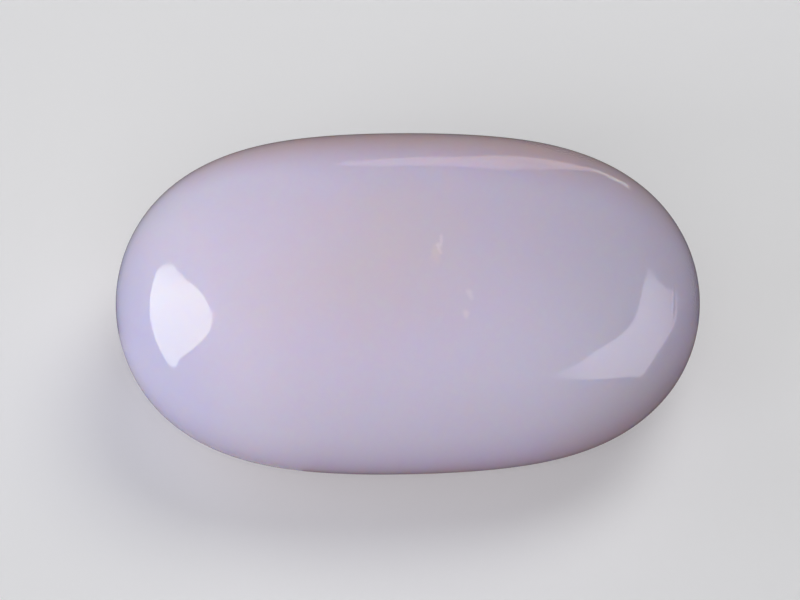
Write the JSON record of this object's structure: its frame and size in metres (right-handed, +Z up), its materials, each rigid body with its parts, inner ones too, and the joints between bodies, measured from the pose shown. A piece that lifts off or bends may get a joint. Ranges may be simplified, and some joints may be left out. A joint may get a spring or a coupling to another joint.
{
  "type": "polished opal stone",
  "caption": "Polished oval stone of milky common opal, domed on both faces, with a small flat underneath to lie on.",
  "frame": {"origin": "middle of the small resting flat on the underside, straight below the middle of the oval", "axes": "+X along the stone's length towards its slightly narrower end, -Y towards its front long side, +Z up out of the domed face"},
  "size_m": [0.025, 0.018, 0.0096],
  "materials": {
    "opal": "polished"
  },
  "bodies": {
    "root": {"opal_stone": "opal"}
  },
  "joints": []
}
